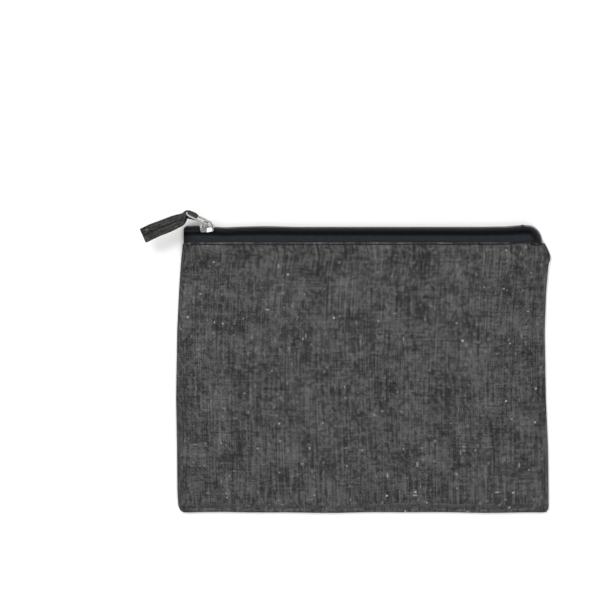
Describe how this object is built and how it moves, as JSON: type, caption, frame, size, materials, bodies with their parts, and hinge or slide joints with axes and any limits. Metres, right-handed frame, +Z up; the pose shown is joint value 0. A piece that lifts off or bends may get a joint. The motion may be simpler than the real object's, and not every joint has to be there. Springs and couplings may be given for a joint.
{
  "type": "zippered pouch",
  "caption": "Flat rectangular cotton pouch with an exposed coil zipper along its top edge, a metal slider with a wire pull loop and a cloth puller tab.",
  "frame": {"origin": "middle of the flat back face that rests on the table, halfway across the pouch's width and height", "axes": "+X along the zipper towards its open end, +Y from the bottom seam to the zipper, +Z up from the table through the cloth"},
  "size_m": [0.2449, 0.18, 0.0148],
  "materials": {
    "cloth": "heathered charcoal plain-weave cotton",
    "puller_cloth": "the same cotton, folded and stitched",
    "tape": "blue-black woven polyester tape",
    "thread": "dark grey polyester sewing thread",
    "cord": "knitted polyester cord",
    "nylon": "dark nylon monofilament, satin",
    "nickel": "bright nickel plating",
    "spring_steel": "plain spring steel"
  },
  "bodies": {
    "pouch": {"back_panel": "cloth", "left_overlock": "thread", "right_overlock": "thread", "bottom_overlock": "thread", "left_seam_thread": "thread", "right_seam_thread": "thread", "bottom_seam_thread": "thread", "back_topstitch": "thread", "back_tape": "tape", "back_coil": "nylon", "back_filler_cord": "cord", "closed_end_tack": "thread", "open_end_tack": "thread"},
    "front_flap": {"front_panel": "cloth", "front_topstitch": "thread", "mouth_bartack": "thread", "front_tape": "tape", "front_coil": "nylon", "front_filler_cord": "cord"},
    "slider": {"slider_body": "nickel", "slider_crown": "nickel", "slider_lock_spring": "spring_steel"},
    "pull_loop": {"pull_loop": "nickel"},
    "puller": {"puller_strip": "puller_cloth", "puller_stitching": "thread"}
  },
  "joints": [
    {"name": "slider_slide", "type": "slide", "parent": "pouch", "child": "slider", "axis": [1, 0, 0], "range_m": [0, 0.182], "deforming": ["back_coil", "front_coil", "back_filler_cord", "front_filler_cord"]},
    {"name": "mouth_open", "type": "hinge", "parent": "pouch", "child": "front_flap", "pos_m": [0, -0.085, 0.0012], "axis": [1, 0, 0], "range_deg": [0, 12], "deforming": ["back_tape", "front_tape"]},
    {"name": "loop_swing", "type": "hinge", "parent": "slider", "child": "pull_loop", "pos_m": [-0.0923, 0.08702, 0.00824], "axis": [0, -0.4226, 0.9063], "range_deg": [-146, 26]},
    {"name": "puller_swing", "type": "hinge", "parent": "pull_loop", "child": "puller", "pos_m": [-0.10431, 0.09281, 0.01094], "axis": [0, -0.4226, 0.9063], "range_deg": [-50, 12]}
  ],
  "couplings": [
    {"joint": "mouth_open", "follows": "slider_slide", "rad_per_m": 1.15}
  ]
}
